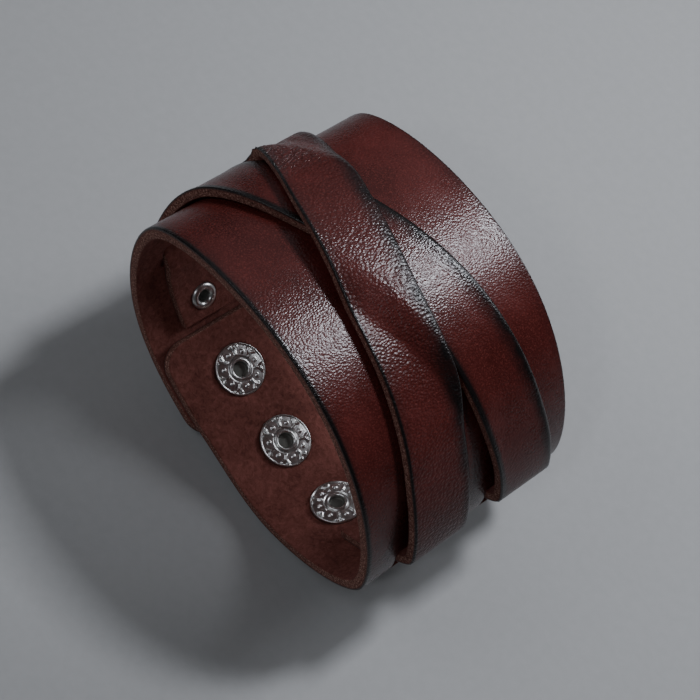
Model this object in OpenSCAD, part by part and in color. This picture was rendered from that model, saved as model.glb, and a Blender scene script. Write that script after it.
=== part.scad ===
/* [Band] */
// Width of the band, across the wrist
band_w = 46; // [40:1:54]
// Thickness of the band's leather
band_t = 2.2; // [1.8:0.1:2.4]
// Mean radius of the closed loop, at the band's outside
loop_r = 31.2; // [30:0.1:33]
// Gap between the two layers of the closure
layer_gap = 1; // [0.9:0.1:1.2]
// Radius of the corners at both ends of the band
corner_r = 5; // [3:0.5:6]

/* [Straps] */
// Width of each crossing strap
strap_w = 12.6; // [11:0.1:13]
// Thickness of each crossing strap
strap_t = 1.9; // [1.6:0.1:2.2]

/* [Snaps] */
// Distance of the first stud from the band's inner end
stud_margin = 11.5; // [11:0.5:12]
// Distance between the studs of a row
stud_pitch = 17; // [16:0.5:17.5]
// Distance of the cap from the band's outer end
cap_margin = 8.2; // [7.6:0.1:9]
// Distance of each row of snaps from the middle of the band
row_y = 10.5; // [9:0.5:12]
// Diameter of the ornamented flange inside each stud
eyelet_d = 9.9; // [9:0.1:10.5]
// Diameter of the domed cap
cap_d = 13; // [12:0.5:13.5]

/* [Hidden] */

// How the loop departs from a circle, as waves added to its reach from the middle.
// Columns: waves round the loop, cosine part in mm, sine part in mm
waves = [
  [2, 3.7, -1.9],
  [3, 0.45, -0.3],
  [4, -0.25, -0.35],
  [5, 0.25, -0.1]
];
ones = [for (w = waves) 1];
inner_end_angle = 230.5;   // where the inner end lies, turning from +X towards +Z
settle = 22;               // length in which the inner layer comes out to the loop
loop_len = 2 * PI * loop_r;
lap = stud_margin + cap_margin;
band_len = loop_len + lap;
band_steps = 120;          // flat pieces that the band's curve is drawn with

// Where each strap passes through the band, and how it runs between.
// Columns: distance along the band from its inner end, distance across the band
under_route = [
  [53, 11.2], [72, 11.2], [85, 10.4], [100, 8.2], [116, 5.6],
  [136, 0.5], [153, -5.2], [175, -11.8], [195, -10.2]
];
over_route = [
  [53, -9.2], [72, -10.0], [91, -7.5], [104, -6.2], [120, -4.8],
  [137, -0.5], [150, 4.1], [175, 11.2], [195, 10.8]
];
stud_slot = 72.3;          // slot at the stud end, distance along the band
cap_slot = 175.2;          // slot at the cap end
tab_len = 19;              // from a slot to the end of the strap inside
rivet_len = 14;            // from a slot to the rivet inside
slot_w = 5.9;
slot_side = 0.35;          // room at each side of a strap in its slot
pass_len = 6.4;            // length in which a strap passes through a slot
strap_rest = 0.12;         // gap between a strap and what it lies on
narrowing = 0.1;           // share by which the straps narrow towards the cap end
narrow_from = 138;
narrow_run = 20;
bow_rise = 4;              // a strap stands off the band beside a slot: rise, then fall
bow_fall = 16;
bow_stud = 1.2;            // by how much at the stud end
bow_cap = 0.4;             // and at the cap end
drape_past = 0.7;          // where the upper strap starts down, past the lower one's edge
drape_tight = 3;           // how soon it comes down there
drape_slack = 8;           // and how much later on its stud side, past the crossing
slack_from = 100;
slack_run = 35;
strap_steps = 104;         // rows of faces along each strap
strap_cols = 9;            // columns of faces across the upper strap
plain_cols = 2;            // columns of faces across the lower strap
route_blur = 2;            // half step of the mean that rounds a route's corners

probe = 0.3;               // half step along the band that tells a strap's direction

clear = 0.05;              // gap between pieces that touch on the real bracelet
corner_over = 0.6;         // how far a corner's cutter passes the leather's faces
soft = 0.2;                // bevel on the edges of the metal parts

// Eyelet: a flange inside the band and a barrel through it
eyelet_seat = 0.3;         // how far the flange is pressed into the leather
flange_t = 0.6;
barrel_r = 1.85;
barrel_bore_r = 1.45;
bore_depth = 1.4;          // from the collar to the barrel's floor
floor_t = 0.4;
collar_r = 2.15;           // raised collar round the bore
collar_h = 0.3;
rim_w = 0.35;              // raised rim at the flange's edge
rim_h = 0.2;
marks = 7;                 // Y marks on a flange, with a dot between each two
mark_start = 10;           // turn of the first mark from the line along the band
mark_in = 1.3;             // from the flange's edge to the fork of a Y
stem_len = 0.75;           // from the fork towards the middle
arm_len = 0.9;
mark_w = 0.36;
arm_turn = 40;             // turn of each arm from the stem's line
dot_in = 1.6;              // from the flange's edge to a dot's middle
dot_r = 0.33;
relief_h = 0.3;

// Stud: a plate outside the band and a head that the socket grips
stud_plate_r = 4.2;
stud_plate_t = 0.6;
stud_head_r = 2.75;
stud_neck_r = 2.5;
stud_round = 0.45;         // how far the head's end is drawn in
stud_h = 1.5;

// Socket and cap on the outer end
socket_r = 4.7;
socket_plate_t = 0.4;
shank_r = 1.2;
shank_in = 0.5;            // how far the cap's shank reaches into the stud
cap_seat = 0.35;           // how far the cap is pressed into the leather
cap_rim_h = 0.6;
cap_step = 0.25;           // from the cap's edge to its dome
cap_h = 2.05;
socket_back = band_t + layer_gap - stud_h - clear - socket_plate_t;
dome_edge = cap_d / 2 - cap_step;
dome_rise = cap_h + cap_seat - clear - cap_rim_h;
dome_r = (dome_edge * dome_edge + dome_rise * dome_rise) / (2 * dome_rise);

// Tubular rivets of the strap ends
rivet_r = 2.65;
rivet_round = 0.7;         // height of a flange's rolled ring
rivet_barrel_r = 1.4;
rivet_bore_r = 1.15;
rivet_seat = 0.15;
tab_face = -band_t - strap_rest - strap_t;   // a tab's inner face over the band's outside

// Smooth step from 0 to 1
function ease(t) = let(u = min(1, max(0, t))) u * u * (3 - 2 * u);

// The loop at an angle: its reach from the middle, the slide along its tangent,
// its radius of bend and the distance run along it
function reach(p) = loop_r + ones * [for (w = waves) w[1] * cos(w[0] * p) + w[2] * sin(w[0] * p)];
function slide(p) = ones * [for (w = waves) w[0] * (w[2] * cos(w[0] * p) - w[1] * sin(w[0] * p))];
function bend_r(p) =
  loop_r + ones * [for (w = waves) (1 - w[0] * w[0]) * (w[1] * cos(w[0] * p) + w[2] * sin(w[0] * p))];
function run(p) =
  loop_r * p * PI / 180
  + ones * [for (w = waves) (1 - w[0] * w[0]) / w[0] * (w[1] * sin(w[0] * p) - w[2] * cos(w[0] * p))];
run_start = run(inner_end_angle);

// Angle of the loop at a distance from the inner end, by Newton's steps
function angle_at(d, p, n) =
  n == 0 ? p : angle_at(d, p - (run(p) - run_start - d) / bend_r(p) * 180 / PI, n - 1);
function angle_of(d) = angle_at(d, inner_end_angle + d / loop_r * 180 / PI, 6);

// How far the inner layer lies inside the loop
function sink(d) = -(band_t + layer_gap) * (1 - ease((d - lap) / settle));

// Place of a point at a distance along the band and a height over its outside
function spot(d, h) =
  let(p = angle_of(d), out = reach(p) + sink(d) + h, along = slide(p))
  [out * cos(p) - along * sin(p), out * sin(p) + along * cos(p)];

// Direction that the band's outside faces
function facing(d) = let(v = spot(d + 1, 0) - spot(d - 1, 0)) atan2(v[1], v[0]) - 90;

// A strap's line across the band, with its corners rounded by a running mean
function route(table, d) =
  [for (k = [-3:3]) lookup(d + k * route_blur, table)] * [for (k = [-3:3]) 1 / 7];
function lean(table, d) = (route(table, d + 1) - route(table, d - 1)) / 2;
function narrow(d) = 1 - narrowing * ease((d - narrow_from) / narrow_run);
function half_w(table, d) = strap_w / 2 * narrow(d) * sqrt(1 + pow(lean(table, d), 2));

// How a strap bows away from the band at a distance outside a slot
function bow(from_slot) = ease(from_slot / bow_rise) * (1 - ease((from_slot - bow_rise) / bow_fall));

// Height of a strap's middle over the band's outside: outside between the slots, inside beyond
out_h = strap_rest + strap_t / 2;
in_h = -band_t - strap_rest - strap_t / 2;
function strap_h(d) =
  in_h + bow_stud * bow(d - stud_slot) + bow_cap * bow(cap_slot - d)
  + (out_h - in_h) * min(ease((d - stud_slot) / pass_len + 0.5), ease((cap_slot - d) / pass_len + 0.5));

// How far the upper strap is lifted by the lower one
function drape(d, off) = drape_tight + (off < 0 ? drape_slack * ease((d - slack_from) / slack_run) : 0);
function lift(d, y) =
  let(off = y - route(under_route, d), beside = abs(off) - half_w(under_route, d) - drape_past)
  (strap_t + 2 * strap_rest) * ease(1 - beside / drape(d, off));

// Middle of a strap at a distance along and across the band
function strap_spot(d, y, over) = spot(d, strap_h(d) + (over ? lift(d, y) : 0));

// Points of a strap's two faces, a row across for each step along
function strap_points(table, over, cols, side) = [
  for (i = [0:strap_steps])
    let(
      d = stud_slot - tab_len + i * (cap_slot - stud_slot + 2 * tab_len) / strap_steps,
      middle = route(table, d),
      half = half_w(table, d)
    )
    for (j = [0:cols])
      let(
        y = middle - half + 2 * half * j / cols,
        v = strap_spot(d + probe, y, over) - strap_spot(d - probe, y, over),
        out = [v[1], -v[0]] / norm(v),
        p = strap_spot(d, y, over) + side * strap_t / 2 * out
      )
      [p[0], y, p[1]]
];

// Faces of a slab that two grids of points bound, the first of them outside
function slab_faces(steps, cols) =
  let(row = cols + 1, under = (steps + 1) * row)
  [
    for (i = [0:steps - 1], j = [0:cols - 1])
      let(a = i * row + j, b = a + 1, c = a + row + 1, e = a + row)
      for (f = [[c, b, a], [e, c, a], [under + a, under + b, under + c], [under + a, under + c, under + e]]) f,
    for (i = [0:steps - 1])
      let(a = i * row, e = a + row, b = a + cols, c = e + cols)
      for (f = [[under + e, e, a], [under + a, under + e, a], [b, c, under + b], [c, under + c, under + b]]) f,
    for (j = [0:cols - 1])
      let(a = j, b = j + 1, e = steps * row + j, c = e + 1)
      for (f = [[a, b, under + a], [b, under + b, under + a], [under + c, c, e], [under + e, under + c, e]]) f
  ];

// Lowest point of a stud's head and of a cap's dome, the bracelet standing on both
function stud_low(d) =
  spot(d, 0)[1] + stud_h * sin(facing(d)) - (stud_head_r - stud_round) * abs(cos(facing(d)));
function cap_low(d) = spot(d, 0)[1] + (cap_h - dome_r) * sin(facing(d)) - dome_r;
rest_z = min(
  stud_low(stud_margin + stud_pitch),
  stud_low(stud_margin + 2 * stud_pitch),
  cap_low(band_len - cap_margin)
);
outline_x = concat(
  [for (i = [0:band_steps]) spot(band_len * i / band_steps, 0)[0]],
  [for (p = strap_points(over_route, true, strap_cols, 1)) p[0]],
  [for (p = strap_points(under_route, false, plain_cols, 1)) p[0]]
);
middle_x = (min(outline_x) + max(outline_x)) / 2;

// Puts a piece on the band's outside, its Z pointing away from the wrist
module on_band(d, y) {
  place = spot(d, 0);
  translate([place[0], y, place[1]])
    rotate([0, 90 - facing(d), 0])
      children();
}

module standing() {
  translate([-middle_x, 0, -rest_z])
    children();
}

// Rounds one end's corners: dir is -1 at the inner end and 1 at the outer
module corner_cuts(d, dir) {
  for (side = [-1, 1])
    on_band(d, side * band_w / 2)
      translate([dir * corner_r, -side * corner_r, -band_t - corner_over])
        linear_extrude(band_t + 2 * corner_over)
          difference() {
            translate([-dir * corner_r, side * corner_r])
              square(2 * corner_r, center = true);
            circle(r = corner_r, $fn = 64);
          }
}

// A slot, wider where its strap runs aslant
module slot_cut(d, table) {
  half = half_w(table, d) + slot_side + abs(lean(table, d)) * slot_w / 4;
  on_band(d, route(table, d))
    translate([0, 0, -band_t / 2])
      cube([slot_w, 2 * half, 4 * band_t], center = true);
}

module stud_cuts(d, y) {
  on_band(d, y) {
    translate([0, 0, -2 * band_t])
      cylinder(r = barrel_r + clear, h = 3 * band_t, $fn = 48);
    translate([0, 0, -stud_plate_t - clear])
      cylinder(r = stud_plate_r + clear, h = band_t, $fn = 64);
    translate([0, 0, -2 * band_t + eyelet_seat])
      cylinder(r = eyelet_d / 2 + clear, h = band_t, $fn = 64);
  }
}

module cap_cuts(y) {
  on_band(band_len - cap_margin, y) {
    translate([0, 0, -2 * band_t])
      cylinder(r = shank_r + 2 * clear, h = 3 * band_t, $fn = 48);
    translate([0, 0, -cap_seat])
      cylinder(r = cap_d / 2 + clear, h = band_t, $fn = 64);
    translate([0, 0, -band_t - layer_gap / 2])
      cylinder(r = socket_r + clear, h = band_t + layer_gap / 2 - socket_back + clear, $fn = 64);
  }
}

module rivet_hole(d, y) {
  on_band(d, y)
    translate([0, 0, -3 * band_t])
      cylinder(r = rivet_barrel_r + clear, h = 4 * band_t, $fn = 48);
}

// The band: one leather strip whose outer end overlaps its inner end
module band() {
  outside = [for (i = [0:band_steps]) spot(band_len * i / band_steps, 0)];
  inside = [for (i = [band_steps:-1:0]) spot(band_len * i / band_steps, -band_t)];
  color("#5a221d")
    difference() {
      rotate([90, 0, 0])
        translate([0, 0, -band_w / 2])
          linear_extrude(band_w)
            polygon(concat(outside, inside));
      corner_cuts(0, -1);
      corner_cuts(band_len, 1);
      slot_cut(stud_slot, under_route);
      slot_cut(stud_slot, over_route);
      slot_cut(cap_slot, under_route);
      slot_cut(cap_slot, over_route);
      for (side = [-1, 1]) {
        for (k = [0:2])
          stud_cuts(stud_margin + k * stud_pitch, side * row_y);
        cap_cuts(side * row_y);
      }
      for (table = [under_route, over_route]) {
        rivet_hole(stud_slot - rivet_len, route(table, stud_slot - rivet_len));
        rivet_hole(cap_slot + rivet_len, route(table, cap_slot + rivet_len));
      }
    }
}

// A crossing strap, with a hole and a seat for the rivet in each tab
module strap(table, over, cols) {
  color("#4f1d1a")
    difference() {
      polyhedron(
        points = concat(strap_points(table, over, cols, 1), strap_points(table, over, cols, -1)),
        faces = slab_faces(strap_steps, cols)
      );
      for (d = [stud_slot - rivet_len, cap_slot + rivet_len]) {
        rivet_hole(d, route(table, d));
        on_band(d, route(table, d))
          translate([0, 0, tab_face + rivet_seat - band_t])
            cylinder(r = rivet_r + clear, h = band_t, $fn = 48);
      }
    }
}

// Flange with a raised rim, Y marks and dots, and the barrel that holds the stud
module eyelet() {
  face = -band_t + eyelet_seat - clear - flange_t;
  edge = eyelet_d / 2;
  floor_h = face - collar_h + bore_depth;
  color("#c9c7c3") {
    rotate_extrude($fn = 96)
      polygon([
        [0, floor_h],
        [barrel_bore_r, floor_h],
        [barrel_bore_r, face - collar_h + soft / 2],
        [barrel_bore_r + soft / 2, face - collar_h],
        [collar_r - soft, face - collar_h],
        [collar_r, face],
        [edge - rim_w, face],
        [edge - rim_w + soft / 2, face - rim_h],
        [edge - soft / 2, face - rim_h],
        [edge, face],
        [edge, face + flange_t],
        [barrel_r, face + flange_t],
        [barrel_r, stud_h],
        [barrel_bore_r, stud_h],
        [barrel_bore_r, floor_h + floor_t],
        [0, floor_h + floor_t]
      ]);
    for (k = [0:marks - 1]) {
      rotate([0, 0, mark_start + 360 / marks * k])
        translate([edge - mark_in, 0, face - relief_h])
          mark();
      rotate([0, 0, mark_start + 360 / marks * (k + 0.5)])
        translate([edge - dot_in, 0, face - relief_h])
          cylinder(r = dot_r, h = relief_h + flange_t / 2, $fn = 24);
    }
  }
}

// One Y mark: a stem towards the middle and two arms towards the edge
module mark() {
  deep = relief_h + flange_t / 2;
  translate([-stem_len, -mark_w / 2, 0])
    cube([stem_len + mark_w / 2, mark_w, deep]);
  for (side = [-1, 1])
    rotate([0, 0, side * arm_turn])
      translate([0, -mark_w / 2, 0])
        cube([arm_len, mark_w, deep]);
}

// Plate let into the leather, and the head that the socket grips
module stud() {
  color("#c2c0bc")
    rotate_extrude($fn = 96)
      polygon([
        [barrel_r + clear, -stud_plate_t],
        [stud_plate_r, -stud_plate_t],
        [stud_plate_r, -soft],
        [stud_plate_r - soft, 0],
        [stud_neck_r, 0],
        [stud_neck_r, stud_h * 0.3],
        [stud_head_r, stud_h * 0.5],
        [stud_head_r, stud_h * 0.75],
        [stud_head_r - stud_round, stud_h],
        [barrel_r + clear, stud_h]
      ]);
}

// Ring that grips the stud, with a back plate that the cap's shank passes
module socket() {
  front = -band_t - layer_gap + clear;
  back = -socket_back;
  grip_r = stud_head_r + clear;
  color("#bab8b4")
    rotate_extrude($fn = 96)
      polygon([
        [shank_r + clear, back],
        [socket_r, back],
        [socket_r, front + soft],
        [socket_r - soft, front],
        [grip_r, front],
        [grip_r, back - socket_plate_t],
        [shank_r + clear, back - socket_plate_t]
      ]);
}

// Domed cap on the outside and its shank
module cap() {
  foot = -cap_seat + clear;
  shank_end = -socket_back - socket_plate_t - shank_in;
  color("#cfcdc9") {
    rotate_extrude($fn = 96)
      union() {
        translate([0, foot])
          square([cap_d / 2, cap_rim_h]);
        intersection() {
          translate([0, cap_h - dome_r])
            circle(r = dome_r, $fn = 128);
          translate([0, foot + cap_rim_h / 2])
            square([dome_edge, cap_h]);
        }
      }
    translate([0, 0, shank_end])
      cylinder(r = shank_r, h = foot + cap_rim_h / 2 - shank_end, $fn = 48);
  }
}

// Tubular rivet through a strap's end and the band, its ends rolled to rings
module rivet() {
  inside = tab_face + rivet_seat - clear;
  ring_mid = (rivet_bore_r + rivet_r) / 2;
  ring_half = (rivet_r - rivet_bore_r) / 2;
  turns = [0:20:180];
  color("#c9c7c3")
    rotate_extrude($fn = 64)
      polygon(concat(
        [for (a = turns) [ring_mid + ring_half * cos(a), clear + rivet_round * sin(a)]],
        [for (a = turns) [ring_mid - ring_half * cos(a), inside - rivet_round * sin(a)]],
        [[rivet_barrel_r, inside], [rivet_barrel_r, clear]]
      ));
}

module snap_part(k, side) {
  standing()
    on_band(stud_margin + (k - 1) * stud_pitch, side * row_y)
      children();
}

module cap_part(side) {
  standing()
    on_band(band_len - cap_margin, side * row_y)
      children();
}

module rivet_part(d, table) {
  standing()
    on_band(d, route(table, d))
      rivet();
}

standing() band();
standing() strap(under_route, false, plain_cols);  // strap_under
standing() strap(over_route, true, strap_cols);  // strap_over
for (k = [1:3]) {
  snap_part(k, -1) eyelet();
  snap_part(k, 1) eyelet();
  snap_part(k, -1) stud();
  snap_part(k, 1) stud();
}
cap_part(-1) socket();  // socket_near
cap_part(1) socket();  // socket_far
cap_part(-1) cap();  // cap_near
cap_part(1) cap();  // cap_far
rivet_part(cap_slot + rivet_len, under_route);  // rivet_under_cap_end
rivet_part(stud_slot - rivet_len, under_route);  // rivet_under_stud_end
rivet_part(cap_slot + rivet_len, over_route);  // rivet_over_cap_end
rivet_part(stud_slot - rivet_len, over_route);  // rivet_over_stud_end
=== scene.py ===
import math

import bpy
import numpy as np
from mathutils import Matrix, Vector


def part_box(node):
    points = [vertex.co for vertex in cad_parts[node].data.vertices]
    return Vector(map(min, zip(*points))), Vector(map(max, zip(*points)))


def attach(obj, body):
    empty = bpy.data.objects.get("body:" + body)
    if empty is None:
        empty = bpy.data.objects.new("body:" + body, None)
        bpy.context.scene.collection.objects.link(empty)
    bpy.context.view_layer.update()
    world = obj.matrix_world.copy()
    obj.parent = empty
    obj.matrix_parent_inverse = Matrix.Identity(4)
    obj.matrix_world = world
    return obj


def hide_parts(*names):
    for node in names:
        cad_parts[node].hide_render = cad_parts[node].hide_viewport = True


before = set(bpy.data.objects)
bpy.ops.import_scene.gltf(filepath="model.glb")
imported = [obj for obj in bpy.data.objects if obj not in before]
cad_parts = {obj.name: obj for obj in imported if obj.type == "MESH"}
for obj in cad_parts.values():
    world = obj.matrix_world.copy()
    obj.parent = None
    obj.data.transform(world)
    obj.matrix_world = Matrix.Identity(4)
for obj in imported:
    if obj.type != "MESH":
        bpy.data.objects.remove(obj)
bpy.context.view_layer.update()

mm = 0.001

# The closed loop of the band in mm: a circle with a few waves added to its reach
loop = {
    "radius": 31.2,
    "startDeg": 230.5,       # where the inner end lies, from +X towards +Z
    "layerGap": 1.0,
    "settle": 22.0,          # length in which the inner layer comes out to the loop
    "tableRoom": (0.3, 1.2),   # radians kept before the inner end and beyond the outer one
    "tableSteps": 6000,
    # how often round the loop, cosine part, sine part
    "waves": ((2, 3.7, -1.9), (3, 0.45, -0.3), (4, -0.25, -0.35), (5, 0.25, -0.1)),
}

band = {
    "width": 46.0,
    "thick": 2.2,
    "cornerRadius": 5.0,
    "edgeRound": 0.32,       # burnished edge on the grain side
    "backRound": 0.2,
    "lineWidth": 0.6,        # black line of dye along the near edge, and along the far one
    "farLineWidth": 0.25,
    "gridStep": 0.75,
    "cornerRows": 10,        # grid rows over a rounded corner
    "rowsApart": 0.05,       # rows closer than this are one
    "waviness": 0.12,        # how far the hide lies off a true curve
    "wavyInner": (60.0, 20.0),   # start and run of it, from the inner and from the outer end
    "wavyOuter": (25.0, 20.0),
    "wallBulge": 0.1,
}

# A sheet's edges, in mm
edges = {
    "rows": (0, 0.08, 0.2, 0.36, 0.6, 0.95, 1.4),   # grid lines crowd towards an edge at these distances
    "onEdge": 0.02,          # points closer than this lie on the edge itself
    "wallRows": 4,
    "fibre": 0.03,           # how far cut fibre stands off a wall
    "fibreTurns": (7.1, 3.3, 5.7, 2.1),   # radians from point to point, so that no two places look alike
    "lineFade": 0.4,         # the black line fades out over this width
    "softLine": 0.4,         # share of the line that a skived edge gets
    "shadeStart": 0.2,       # soft shade of dye beside the line: start and reach
    "shadeReach": 2.6,
    "softStart": 0.5,        # what a skived edge adds to both
    "softReach": 0.9,
    "crispShade": 0.4,
    "softShade": 0.75,
    "faceStart": 0.2,        # share of cut fibre at the rim of the grain side
}

# Painted shade: the hide is coloured darker where it bends down towards the stud end and turns away from the
# light, in mm along the band
paintedLowShade = {"strength": 0.5, "from": 104.0, "run": 28.0}

snaps = {
    "studMargin": 11.5,
    "studPitch": 17.0,
    "capMargin": 8.2,
    "rowOffset": 10.5,
    "flangeRadius": 4.95,
    "dishReach": 1.6,        # the flange presses a shallow dish into the flesh side
    "dishDepth": 0.18,
    "flangeSeat": 0.3,
    "flangeThick": 0.6,
    "plateRadius": 4.2,
    "plateThick": 0.6,
    "plateClear": 0.4,       # height of the hole's cutter over the leather, less than the layers' gap
    "barrelRadius": 1.85,
    "boreRadius": 1.45,
    "studHeight": 1.5,
    "socketRadius": 4.7,
    "socketBack": 1.25,
    "shankRadius": 1.2,
    "capRadius": 6.5,
    "capSeat": 0.35,
    "room": 0.06,
}

straps = {
    "width": 12.6,
    "thick": 1.9,
    "rest": 0.12,
    "narrowing": 0.1,        # share by which the straps narrow towards the cap end
    "narrowAlong": (138.0, 20.0),
    "bowRise": 4.0,          # a strap stands off the band beside a slot: rise, then fall
    "bowFall": 16.0,
    "bowStud": 1.2,
    "bowCap": 0.1,
    "wander": 0.12,          # of the hand-cut edges
    "wanderRuns": (9.7, 11.3),   # mm for each radian of it, left and right
    "wallBulge": 0.06,
    "crispRound": 0.28,      # rounding of the left edges, cut square
    "softRound": 1.1,        # rounding of the right edges, skived and pressed down
    "mostRound": 0.75,       # share of the thickness that a rounding may take
    "backRound": 0.15,
    "studSlot": 72.3,
    "capSlot": 175.2,
    "slotWidth": 5.9,
    "slotSide": 0.35,
    "slotCorner": 0.8,
    "passLength": 6.4,
    "tabLength": 19.0,
    "rivetFromSlot": 14.0,
    "rivetRadius": 2.65,
    "rivetBarrel": 1.4,
    "rivetBore": 1.15,
    "rivetRound": 0.7,
    "rivetSeat": 0.15,
    "rivetTuck": 0.15,
    "rivetSides": 72,
    "cutterClear": (1.5, 0.4),   # a seat's cutter goes this far past the tab, inside and outside
    "gridStep": 0.7,
    "columns": 26,
    # distance along the band, distance across it
    "underRoute": ((53, 11.2), (72, 11.2), (85, 10.4), (100, 8.2), (116, 5.6),
                   (136, 0.5), (153, -5.2), (175, -11.8), (195, -10.2)),
    "overRoute": ((53, -9.2), (72, -10.0), (91, -7.5), (104, -6.2), (120, -4.8),
                  (137, -0.5), (150, 4.1), (175, 11.2), (195, 10.8)),
}

loopLength = 2 * math.pi * loop["radius"]
lap = snaps["studMargin"] + snaps["capMargin"]
bandLength = loopLength + lap


# Soft step from 0 to 1
def ease(t):
    u = np.clip(t, 0, 1)
    return u * u * (3 - 2 * u)


# Soft step over a span, which is a start and a run
def stepOver(x, span):
    return ease((x - span[0]) / span[1])


# The loop in polar form: reach outwards, slide along, and length run, at an angle
def waveSum(p, cosPart, sinPart):
    total = np.zeros_like(p)
    for n, a, b in loop["waves"]:
        total = total + cosPart(n, a, b) * np.cos(n * p) + sinPart(n, a, b) * np.sin(n * p)
    return total


def reachAt(p):
    return loop["radius"] + waveSum(p, lambda n, a, b: a, lambda n, a, b: b)


def slideAt(p):
    return waveSum(p, lambda n, a, b: n * b, lambda n, a, b: -n * a)


def runAt(p):
    part = waveSum(p, lambda n, a, b: -(1 - n * n) / n * b, lambda n, a, b: (1 - n * n) / n * a)
    return loop["radius"] * p + part


# Length run along the loop against angle, for the whole band with some room at both ends
startAngle = math.radians(loop["startDeg"])
before, beyond = loop["tableRoom"]
angleTable = np.linspace(startAngle - before, startAngle + 2 * math.pi + beyond, loop["tableSteps"])
runTable = runAt(angleTable) - runAt(np.array([startAngle]))[0]


# How far the inner end of the band lies inside the loop
def sinkAt(d):
    return -(band["thick"] + loop["layerGap"]) * (1 - ease((d - lap) / loop["settle"]))


# Place in the section across the wrist of a point at a distance along the band and a height over it
def sectionAt(d, height):
    p = np.interp(d, runTable, angleTable)
    out = reachAt(p) + sinkAt(d) + height
    along = slideAt(p)
    return out * np.cos(p) - along * np.sin(p), out * np.sin(p) + along * np.cos(p)


# The band's own box says where the closed loop stands in the frame
sampleX, sampleZ = sectionAt(np.linspace(0, bandLength, 4000), 0.0)
bandLow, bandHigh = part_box("band")
standX = bandLow.x / mm - sampleX.min()
standZ = bandHigh.z / mm - sampleZ.max()
print("loop of", round(bandLength, 1), "mm set at", round(standX, 2), round(standZ, 2))


# Places in the frame, in mm
def placeAt(d, y, height):
    x, z = sectionAt(d, height)
    return np.stack([x + standX, y + 0 * x, z + standZ], -1)


# Outward direction and direction along the leather, for a line of heights given by a function
def frameAt(d, y, heightOf, half=0.25):
    ahead = placeAt(d + half, y, heightOf(d + half, y))
    behind = placeAt(d - half, y, heightOf(d - half, y))
    along = ahead - behind
    along = along / np.linalg.norm(along, axis=-1, keepdims=True)
    outward = np.stack([along[..., 2], 0 * along[..., 0], -along[..., 0]], -1)
    return outward, along


# Place, outward direction and direction along the leather at one point of the band
def axisAt(d, y):
    outward, along = frameAt(np.array([d]), np.array([y]), lambda dd, yy: 0 * dd)
    return placeAt(np.array([d]), np.array([y]), 0.0)[0], outward[0], along[0]


# A strap's middle line, smoothed over a few places 2 mm apart
def routeAt(name, d):
    table = np.array(straps[name], float)
    shifts = 2 * np.arange(-3, 4)
    total = 0
    for shift in shifts:
        total = total + np.interp(d + shift, table[:, 0], table[:, 1])
    return total / len(shifts)


def leanAt(name, d):
    return (routeAt(name, d + 1) - routeAt(name, d - 1)) / 2


# Half of a strap's width measured across the band, not across the leaning strap
def halfWidthAt(name, d):
    narrow = 1 - straps["narrowing"] * stepOver(d, straps["narrowAlong"])
    return straps["width"] / 2 * narrow * np.sqrt(1 + leanAt(name, d) ** 2)


# Soft unevenness of hide: a few crossing swells of plain lengths in mm, between -1 and 1
def unevenness(d, y, seed):
    a = np.sin(d / 7.3 + 1.7 * seed) * np.cos(y / 9.1 + 0.9 * seed)
    b = np.sin(d / 12.7 + y / 6.3 + 2.3 * seed)
    c = np.cos(d / 4.9 - y / 8.2 + 0.4 * seed)
    return 0.45 * a + 0.35 * b + 0.2 * c


# How far a cut edge is rounded off, at a distance from the edge
def edgeDrop(fromEdge, radius):
    u = np.clip(1 - fromEdge / radius, 0, 1)
    return radius * (1 - np.sqrt(np.clip(1 - u * u, 0, 1)))


def setPointValues(mesh, name, values):
    attribute = mesh.attributes.new(name, "FLOAT", "POINT")
    attribute.data.foreach_set("value", np.asarray(values, np.float32))


# Mesh object from points in mm
def addMesh(name, points, faces, smooth=True):
    mesh = bpy.data.meshes.new(name)
    mesh.from_pydata((points * mm).tolist(), [], faces)
    mesh.update()
    for face in mesh.polygons:
        face.use_smooth = smooth
    thing = bpy.data.objects.new(name, mesh)
    bpy.context.scene.collection.objects.link(thing)
    return thing


# Points of the wall between the rims of the two grids, a little swollen and rough with fibre
def wallPoints(outer, inner, border, bulge):
    rows, cols = outer.shape[:2]
    wallRows = edges["wallRows"]
    alongI, alongK, acrossJ, acrossK = edges["fibreTurns"]
    wall = []
    for k in range(1, wallRows):
        share = k / wallRows
        for i, j in border:
            rim = outer[i, j]
            inward = outer[min(max(i, 1), rows - 2), min(max(j, 1), cols - 2)]
            away = rim - inward
            away = away / max(np.linalg.norm(away), 1e-9)
            swell = bulge * 4 * share * (1 - share)
            fibre = edges["fibre"] * math.sin(alongI * i + alongK * k) * math.cos(acrossJ * j - acrossK * k)
            wall.append(rim + (inner[i, j] - rim) * share + away * (swell + fibre))
    return np.array(wall)


# A thin burnished line on the crisp edges and a soft shade of dye along all of them, for the grain side, with
# the painted shade of the lower part taken into the soft shade
def edgeDyesAndPaintedShade(fromEdge, crisp, lineWidth, paintedShade):
    soft = 1 - crisp
    fade = edges["lineFade"]
    line = 1 - ease((fromEdge - lineWidth + fade / 2) / fade)
    line = line * (edges["softLine"] + (1 - edges["softLine"]) * crisp)
    start = edges["shadeStart"] + edges["softStart"] * soft
    shade = 1 - ease((fromEdge - start) / (edges["shadeReach"] + edges["softReach"] * soft))
    shade = shade * (edges["crispShade"] + edges["softShade"] * soft)
    return line.reshape(-1), np.maximum(shade, paintedShade).reshape(-1)


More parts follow.
